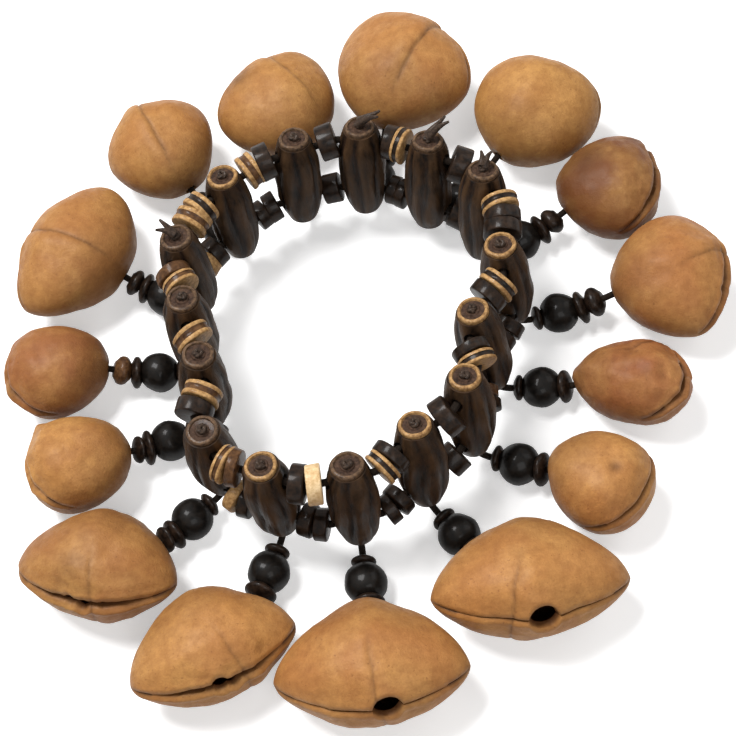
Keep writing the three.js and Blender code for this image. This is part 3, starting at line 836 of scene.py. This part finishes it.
class Bow:
    """A strand's way from the hole of one barrel to the hole of the next one."""

    def __init__(self, start, end, height, reach):
        leaves = start.at(height) + start.along * reach
        enters = end.at(height) - end.along * reach
        chord = enters - leaves
        self.room = chord.length
        self.handles = [leaves, leaves + start.along * self.room / 3,
                        enters - end.along * self.room / 3, enters]
        self.turns = [math.sin(barrel.along.angle(chord)) for barrel in (start, end)]

    def at(self, share):
        rest = 1 - share
        weights = (rest ** 3, 3 * share * rest ** 2, 3 * share ** 2 * rest, share ** 3)
        return sum((weight * handle for weight, handle in zip(weights, self.handles)), Vector())

    def way(self, share):
        return (self.at(share + BOW_LOOKS_AHEAD) - self.at(share - BOW_LOOKS_AHEAD)).normalized()


def add_spacers(beads, bow, kinds, index, height, disc_radius):
    """As many discs as fill the room between two barrels, each a little larger, smaller or askew."""
    tilt = [disc_radius * TILT_TAKES * turn for turn in bow.turns]
    free = bow.room - TILT_KEEPS * sum(tilt) - 2 * SPACER_END_GAP
    while free / len(kinds) > THICKEST_SPACER:
        kinds.append("dark")
    kinds = kinds[:max(1, int(free / THINNEST_SPACER))]
    pitch = free / len(kinds)
    for k, kind in enumerate(kinds):
        share = (TILT_KEEPS * tilt[0] + SPACER_END_GAP + (k + 0.5) * pitch) / bow.room
        draw = rough(index * 5.3, k * 2.9, height)
        lean = Vector((rough(index, k * 7.7, height), draw, rough(k, index * 3.3, height)))
        way = (bow.way(share) + lean * SPACER_LEANS).normalized()
        radius = disc_radius * (SPACER_FULLNESS + SPACER_VARIES * draw)
        rows, bands = disc_rows(kind, pitch - SPACER_GAP, radius)
        points, faces = lathe(rows, SPACER_SIDES, bow.at(share), way, SPACER_UNEVEN, index * 4 + k)
        slots = [band for band in bands for _ in range(SPACER_SIDES)]
        beads.add(points, faces, slots + [bands[0], bands[-1]])


def make_strand(name, height, disc_radius, discs):
    """The elastic strand through every barrel, and the discs between the barrels."""
    towards_middle = disc_radius if height < BARREL_LENGTH / 2 else -disc_radius
    reach = barrel_radius(height + STRAND_SEAT_SHARE * towards_middle) + STRAND_CLEAR
    beads = Form()
    path = []
    for i, start in enumerate(barrels):
        bow = Bow(start, barrels[(i + 1) % COUNT], height, reach)
        path.extend(bow.at(step / BOW_STEPS) for step in range(BOW_STEPS + 1))
        add_spacers(beads, bow, discs[i].split(), i, height, disc_radius)
    line = Form()
    line.add(*looped_tube(path, STRAND_RADIUS, CORD_SIDES))
    cord = line.object(f"{name}_cord", [CORD], 60)
    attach(cord, "ring")
    made = beads.object(f"{name}_discs", DISC_SLOTS, 50)
    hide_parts(name)
    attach(made, "ring")


def along_cord(length):
    """Place and slope of a string's cord in its own plane, `length` along it from its pivot."""
    bend = CORD_BEND_RADIUS * math.radians(CORD_LEAVES_AT + CORD_ENDS_AT)
    rise = 2 * CORD_BEND_RADIUS * math.radians(CORD_RISES_AT - CORD_ENDS_AT)
    runs = [(bend, CORD_ENDS_AT), (RISE_BEGINS_AT - bend, CORD_ENDS_AT), (rise, CORD_RISES_AT),
            (math.inf, CORD_RISES_AT)]
    x, z, slope, left = 0.0, 0.0, -math.radians(CORD_LEAVES_AT), length
    for run, end in runs:
        used = min(left, run)
        turn = (math.radians(end) - slope) * used / run
        chord = 2 * used * math.sin(turn / 2) / turn if abs(turn) > STRAIGHT else used
        x += chord * math.cos(slope + turn / 2)
        z += chord * math.sin(slope + turn / 2)
        slope += turn
        left -= used
        if left <= 0:
            break
    return x, z, slope


class String:
    """A string's plane: its pivot, the direction that it runs in on the table, and its shell's entry."""

    def __init__(self, unit):
        axis = joints[f"string_{unit}_swing"]["axis"]
        self.number = int(unit)
        self.pivot = Vector(joints[f"string_{unit}_swing"]["pos_m"]) / MM
        self.entry = Vector(joints[f"seed_{unit}_nod"]["pos_m"]) / MM
        self.out = Vector((-axis[1], axis[0], 0)).normalized()

    def at(self, length):
        """Place and direction of the cord, `length` along it."""
        x, z, slope = along_cord(length)
        place = self.pivot + self.out * x + Vector((0, 0, z))
        return place, self.out * math.cos(slope) + Vector((0, 0, math.sin(slope)))

    def draw(self, purpose):
        """The string's own smooth noise for one purpose."""
        return rough(self.number * 3.7, purpose * 1.9, 0.5)


def saucer(thickness, radius):
    """Profile of a lens-shaped bead."""
    rows = []
    for k in range(SAUCER_STEPS + 1):
        share = 2 * k / SAUCER_STEPS - 1
        swell = max(SAUCER_EDGE, 1 - abs(share) ** SAUCER_FULLNESS)
        rows.append((share * thickness / 2, radius * swell ** 0.5))
    return rows


def round_bead():
    """Profile of the round bead, whose ends are cut flat."""
    rows = []
    for k in range(ROUND_STEPS + 1):
        away = math.sin(math.pi / 2 * (2 * k / ROUND_STEPS - 1)) * ROUND_LENGTH / 2
        rows.append((away, math.sqrt(ROUND_RADIUS ** 2 - away ** 2)))
    return rows


def saucer_beads(unit, string, far):
    """The lens-shaped beads on a string, as (place along it, thickness, radius, slot)."""
    washer_at = WASHER_AT + WASHER_SITS_ON
    collar_radius = COLLAR_RADIUS * (1 - COLLAR_VARIES * abs(string.draw(1)))
    washer_thickness = WASHER_THICKNESS * (1 + WASHER_VARIES * string.draw(2))
    washer_radius = WASHER_RADIUS * (1 + WASHER_VARIES * string.draw(3))
    beads = [(COLLAR_AT, COLLAR_THICKNESS, collar_radius, SAUCER_SLOT),
             (washer_at, washer_thickness, washer_radius, SAUCER_SLOT)]
    behind = washer_at + WASHER_THICKNESS / 2
    extra = min(THICKEST_LAST_BEAD, far - behind - LAST_BEAD_GAP)
    if extra > THINNEST_LAST_BEAD:
        slot = BROWN_BEAD_SLOT if unit == BROWN_BEAD_ON else SAUCER_SLOT
        middle = behind + extra / 2 + LAST_BEAD_SITS_OFF
        beads.append((middle, extra, LAST_BEAD_RADIUS * (1 + LAST_BEAD_VARIES * string.draw(7)), slot))
    return beads


def make_string(unit, string):
    """Cord, disc bead, round bead and disc bead in front of the shell, with the knot inside it."""
    form = Form()
    far = (string.entry - string.at(WASHER_AT)[0]).length + WASHER_AT
    steps = 26
    length = far + CORD_REACHES_IN - COLLAR_AT
    path = [string.at(COLLAR_AT + length * k / steps)[0] for k in range(steps + 1)]
    form.add(*tube(path, CORD_RADIUS, CORD_SIDES), BEAD_CORD_SLOT)
    knot = saucer(INNER_KNOT_THICKNESS, INNER_KNOT_RADIUS)
    form.add(*lathe(knot, 14, *string.at(far + INNER_KNOT_AT), 0.1, string.number), BEAD_CORD_SLOT)
    for at, thickness, radius, slot in saucer_beads(unit, string, far):
        place, way = string.at(at)
        askew = Vector([string.draw(purpose + at) for purpose in (4, 5, 6)])
        way = (way + askew * BEADS_LEAN).normalized()
        rows = saucer(thickness, radius)
        form.add(*lathe(rows, SAUCER_SIDES, place, way, BEAD_UNEVEN, string.number + at), slot)
    place, way = string.at(ROUND_AT)
    form.add(*lathe(round_bead(), ROUND_SIDES, place, way, ROUND_UNEVEN, string.number * 1.3), ROUND_SLOT)
    made = form.object(f"string_beads_{unit}", BEAD_SLOTS, 50)
    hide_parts(f"bead_string_{unit}")
    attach(made, f"string_{unit}")


def make_foot_cord(unit, barrel, string):
    """The cord from inside the barrel's foot to the collar."""
    starts_at = 0.35
    ends_at = COLLAR_AT - 0.5
    steps = 7
    path = [barrel.at(height) for height in FOOT_CORD_HEIGHTS]
    path += [string.at(starts_at + (ends_at - starts_at) * k / steps)[0] for k in range(steps + 1)]
    collar = string.at(ends_at)[0]
    link = Form()
    link.add(*tube(path, CORD_RADIUS, CORD_SIDES))
    cord = link.object(f"foot_cord_{unit}", [CORD], 60)
    tuple(barrel.at(0) * MM)
    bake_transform(cord)


def shell_radius(seed, directions):
    """Distance from a shell's middle to its outer surface in each direction."""
    depth, width, height = seed["size"]
    reach = np.where(directions[:, 0] > 0, depth * (1 - INNER_SHARE), depth * INNER_SHARE)
    across = np.hypot(directions[:, 0] / reach, 2 * directions[:, 2] / height)
    aside = np.abs(2 * directions[:, 1] / width)
    girth = 2 - POINT_PINCH * seed["point"]
    wide = 2 - POINT_SHARPENS * seed["point"]
    low = np.zeros(len(directions))
    high = np.full(len(directions), float(depth + width + height))
    for _ in range(HALVINGS):
        middle = (low + high) / 2
        beyond = (across * middle) ** girth + (aside * middle) ** wide > 1
        high = np.where(beyond, middle, high)
        low = np.where(beyond, low, middle)
    return (low ** -TIP_BLUNTNESS + (TIP_KEEPS * aside) ** TIP_BLUNTNESS) ** (-1 / TIP_BLUNTNESS)


def mouth_gap(seed, number, y):
    """Half-heights of the slit above and below its middle at place `y` along the width."""
    share = min(1.0, abs(y) / (seed["size"][1] * MOUTH_SHARE / 2))
    opening = seed["slit"][0] * (1 - share ** 3)
    gap = opening * (1 + SLIT_UNEVEN * rough(y * 0.8, number * 4.1, 0))
    up = down = max(0.0, gap)
    place, radius = seed["hole"]
    away = abs(y - place)
    if away < radius:
        bulge = math.sqrt(radius ** 2 - away ** 2)
        up = max(up, bulge)
        down = max(down, bulge * HOLE_LOWER_SHARE)
    if seed["chip"]:
        chip = max(0.0, 1 - abs(y - place - CHIP_BESIDE) / CHIP_HALF)
        down = max(down, max(0.0, gap) + CHIP_DEPTH * chip)
    return up, down


def shell_grid(seed, number):
    """Directions from a shell's middle, ring after ring and then its two tips, with each one's slit.

    The slit goes with each direction as (distance to its edge, its height, whether it is the upper edge).
    """
    thetas = [math.pi * (r + 1) / (SHELL_RINGS + 1) for r in range(SHELL_RINGS)]
    rise = math.radians(MOUTH_RISES)
    rim = [(math.cos(rise) * math.sin(t), math.cos(t), math.sin(rise) * math.sin(t)) for t in thetas]
    directions = []
    slits = []
    for theta, rim_radius in zip(thetas, shell_radius(seed, np.array(rim))):
        out = rim_radius * math.sin(theta)
        up, down = mouth_gap(seed, number, rim_radius * math.cos(theta))
        low = rise + math.asin(min(WIDEST_SLIT, up / out))
        high = rise + 2 * math.pi - math.asin(min(WIDEST_SLIT, down / out))
        for c in range(SHELL_COLUMNS):
            share = c / (SHELL_COLUMNS - 1)
            share -= COLUMNS_CROWD * math.sin(2 * math.pi * share) / (2 * math.pi)
            phi = low + (high - low) * share
            x, z = math.cos(phi) * math.sin(theta), math.sin(phi) * math.sin(theta)
            directions.append((x, math.cos(theta), z))
            slits.append((min(phi - low, high - phi) * out, up + down, phi < rise + math.pi))
    width = seed["size"][1]
    tips = [(0, 1, 0), (0, -1, 0)]
    return np.array(directions + tips), slits + [(width, width, True)] * len(tips)


def shell_relief(seed, number, p, slit):
    """How far a shell's surface stands out of its plain form at `p`, and how much dirt and painted shade
    darken it there.
    """
    depth, width, height = seed["size"]
    wrinkle = seed["wrinkle"]
    edge, gap, upper = slit
    place = p + Vector((number * 17.0, number * 5.0, 0))
    lump = BROAD_LUMPS * noise.noise(place * BROAD_FINENESS)
    lump += MIDDLE_LUMPS * wrinkle * noise.noise(place * MIDDLE_FINENESS)
    ridged = (1 - abs(rough(place.x * 0.5, place.y * 0.16, place.z * 0.5))) ** 3
    lump += RIDGES * wrinkle * (ridged - 0.5)

    crease_at, slant, crease_depth, crease_reach = seed["crease"]
    off = p.y - crease_at - slant * (p.x + CREASE_PIVOT) - CREASE_BENDS * rough(p.x * 0.25, number, 3)
    fading = 1 / (1 + math.exp(-(p.x + crease_reach) / CREASE_FADES_OVER))
    valley = fading * math.exp(-abs(off) / CREASE_WIDTH)
    swell = fading * (bell(off, *SWELL) - DIP_SHARE * bell(off, *DIP))
    lump += crease_depth * (swell - valley) / 2

    towards_tip = abs(p.y) / (width / 2)
    calm = clamped((towards_tip - CALM_FROM) / CALM_OVER)
    lump = (1 - CALM_SHARE * calm) * lump - CALM_SINKS * calm

    fade = clamped((SLIT_ENDS_BY - towards_tip) / SLIT_FADES_OVER)
    lip = fade * seed["slit"][1] * bell(edge, *LIP)
    seam = fade * math.exp(-edge / SEAM_WIDTH) if gap <= SHUT else 0.0
    lump += (UPPER_LIP if upper else LOWER_LIP) * lip
    lump -= ROLL_IN * fade * math.exp(-edge / ROLL_IN_WIDTH) + SEAM_DEPTH * seam

    # Painted shade in the crease and the seam, and at the slit's edge
    dirty = CREASE_SHADE * crease_depth * valley + SEAM_SHADE * seam
    dirty += SLIT_EDGE_SHADE * math.exp(-edge / SLIT_EDGE_SHADE_WIDTH)
    for x, y, size, mark_rise, dark in seed["marks"]:
        on_top = 1 / (1 + math.exp(-p.z - 2))
        close = bell(math.hypot(p.x - x, p.y - y), 0, size) * on_top
        lump += mark_rise * close
        dirty += dark * close
    # Painted shade in the wrinkles' valleys, on the side towards the ring and underneath; darker towards the
    # tips
    dirty += VALLEY_SHADE * wrinkle * max(0.0, 0.5 - ridged)
    dirty += RING_SIDE_SHADE * max(0.0, -p.x / depth - RING_SIDE_FROM)
    dirty += UNDERSIDE_SHADE * max(0.0, -p.z / height) + TIP_DARKENING * towards_tip ** TIP_DARKENING_SHARPNESS
    return lump, clamped(dirty)


def shell_skins(seed, number):
    """Points of a shell's outer and inner surfaces, and how much dirt and painted shade darken each outer
    one.
    """
    directions, slits = shell_grid(seed, number)
    outer = []
    inner = []
    dirt = []
    for direction, radius, slit in zip(directions, shell_radius(seed, directions), slits):
        way = Vector(direction)
        lump, dirty = shell_relief(seed, number, way * float(radius), slit)
        outer.append(way * (float(radius) + lump))
        inner.append(way * (float(radius) + INSIDE_RELIEF * lump - SHELL_WALL))
        dirt.append(dirty)
    return outer, inner, dirt


def shell_faces(size):
    """Faces of both skins, of the lips that join them along the slit, and of their tips.

    The points are the outer grid, the inner grid, two outer tips and two inner ones.
    """
    skin = grid_faces(SHELL_RINGS, SHELL_COLUMNS, closed=False)
    faces = skin + [tuple(size + corner for corner in reversed(face)) for face in skin]
    for near in range(0, size - SHELL_COLUMNS, SHELL_COLUMNS):
        after = near + SHELL_COLUMNS
        faces.append((near, after, size + after, size + near))
        near += SHELL_COLUMNS - 1
        after += SHELL_COLUMNS - 1
        faces.append((size + near, size + after, after, near))
    tip = 2 * size
    last = size - SHELL_COLUMNS
    for c in range(SHELL_COLUMNS - 1):
        faces.append((tip, c + 1, c))
        faces.append((tip + 1, last + c, last + c + 1))
        faces.append((tip + 2, size + c, size + c + 1))
        faces.append((tip + 3, size + last + c + 1, size + last + c))
    first_end = SHELL_COLUMNS - 1
    last_end = size - 1
    faces += [(tip, 0, size, tip + 2), (tip, tip + 2, size + first_end, first_end)]
    faces += [(tip + 3, size + last, last, tip + 1), (last_end, size + last_end, tip + 3, tip + 1)]
    return faces


def weld(piece):
    """Joins the points that meet, where the slit is shut, and turns every face outwards."""
    mesh = bmesh.new()
    mesh.from_mesh(piece.data)
    bmesh.ops.remove_doubles(mesh, verts=mesh.verts, dist=WELD * MM)
    bmesh.ops.recalc_face_normals(mesh, faces=mesh.faces)
    mesh.to_mesh(piece.data)
    mesh.free()


def make_shell(unit, seed, string):
    """Hollow shell: outer and inner skins joined along the slit's lips, with its cord hole."""
    outer, inner, dirt = shell_skins(seed, int(unit))
    string_angle = math.atan2(string.out.y, string.out.x)
    pose = (Matrix.Rotation(string_angle, 3, "Z") @ Matrix.Rotation(math.radians(seed["roll"]), 3, "X")
            @ Matrix.Rotation(math.radians(seed["mouth"]) - string_angle, 3, "Z"))
    outer = [pose @ p for p in outer]
    inner = [pose @ p for p in inner]
    low, high = (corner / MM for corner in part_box(f"seed_shell_{unit}"))
    lowest = Vector(min(p[axis] for p in outer) for axis in range(3))
    highest = Vector(max(p[axis] for p in outer) for axis in range(3))
    shift = (low + high - lowest - highest) / 2
    shift.z = low.z - lowest.z
    size = SHELL_RINGS * SHELL_COLUMNS
    points = [p + shift for p in outer[:size] + inner[:size] + outer[size:] + inner[size:]]
    form = Form()
    form.add(points, shell_faces(size))
    tips = len(outer) - size
    shell = form.object(f"shell_{unit}", [seed_material(unit, seed)], 50,
                        # The inner skin takes full darkening, which is painted shade on the lips' walls
                        # towards the inside; the inside colour covers the inner skin itself
                        dirt=dirt[:size] + [1.0] * size + dirt[size:] + [1.0] * tips,
                        inside=[0.0] * size + [1.0] * size + [0.0] * tips + [1.0] * tips)
    weld(shell)
    way = string.at(WASHER_AT + 4)[1]
    drill(shell, string.entry, way, CORD_HOLE_ENDS, CORD_HOLE_RADIUS, CORD_HOLE_SIDES)
    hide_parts(f"seed_shell_{unit}")
    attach(shell, f"seed_{unit}")


def camera_directions():
    """Right, up and backward directions of the camera, which looks along +Y and down."""
    elevation, roll = math.radians(ELEVATION), math.radians(ROLL)
    back = Vector((0, -math.cos(elevation), math.sin(elevation)))
    right = Vector((1, 0, 0))
    up = back.cross(right)
    return turned(right, -up, roll), turned(up, right, roll), back


def make_camera():
    """The photograph's view."""
    camera = bpy.data.cameras.new("camera")
    camera.lens = FOCAL_LENGTH
    camera.sensor_width = SENSOR_WIDTH
    camera.clip_start = NEAREST_SEEN * MM
    made = linked("camera", camera)
    right, up, back = camera_directions()
    target = Vector(LOOKS_AT) + right * PICTURE_OFFSET[0] + up * PICTURE_OFFSET[1]
    place = (target + back * CAMERA_DISTANCE) * MM
    made.matrix_world = Matrix.Translation(place) @ Matrix((right, up, back)).transposed().to_4x4()
    bpy.context.scene.camera = made


def make_lamp(name, place, size, power):
    """A soft square lamp aimed at the object."""
    light = bpy.data.lights.new(name, "AREA")
    light.size = size
    light.energy = power
    made = linked(name, light)
    made.location = place
    made.rotation_euler = (Vector(LAMPS_AIM_AT) - Vector(place)).to_track_quat("-Z", "Y").to_euler()


def make_table():
    """A white table that glows where it is seen and lights the object as a grey one."""
    mesh = bpy.data.meshes.new("table")
    half = TABLE_HALF
    corners = [(-half, -half, 0), (half, -half, 0), (half, half, 0), (-half, half, 0)]
    mesh.from_pydata(corners, [], [(0, 1, 2, 3)])
    table = linked("table", mesh)
    n = Nodes("table_white")
    seen = n.shows_background()
    place = n.add("ShaderNodeTexCoord").outputs["Object"]
    away = n.add("ShaderNodeVectorMath", {0: place}, operation="LENGTH").outputs["Value"]
    glow = n.span(away, GLOW_GROWS_FROM, GLOW_GROWS_TO, LEAST_GLOW, 1)
    n.finish(Base_Color=n.mix(seen, TABLE_AS_LIGHT, TABLE_SEEN), Roughness=0.9, Specular_IOR_Level=0,
             Emission_Color=WHITE, Emission_Strength=n.times(seen, glow))
    mesh.materials.append(n.made)


def make_stage():
    """The table, a white surround, and soft lamps above and behind, in front, and at the right."""
    make_table()
    n = Nodes("world", world=True)
    strength = n.span(n.shows_background(), 0, 1, SURROUND_LIGHT, 1)
    bpy.context.scene.world = n.finish(Color=WHITE, Strength=strength)
    for name, (place, size, power) in LAMPS.items():
        make_lamp(name, place, size, power)


barrels = [Barrel(unit) for unit in UNITS]
for i, barrel in enumerate(barrels):
    barrel.face(barrels[i - 1], barrels[(i + 1) % COUNT])
make_camera()
for unit, barrel, seed in zip(UNITS, barrels, SEEDS):
    string = String(unit)
    make_barrel(unit, barrel)
    make_cap(unit, barrel)
    make_string(unit, string)
    make_foot_cord(unit, barrel, string)
    make_shell(unit, seed, string)
make_strand("upper_strand", UPPER_HOLE_AT, UPPER_SPACER_RADIUS, UPPER_DISCS)
make_strand("lower_strand", LOWER_HOLE_AT, LOWER_SPACER_RADIUS, LOWER_DISCS)
make_stage()
bpy.context.scene.view_settings.view_transform = "Standard"
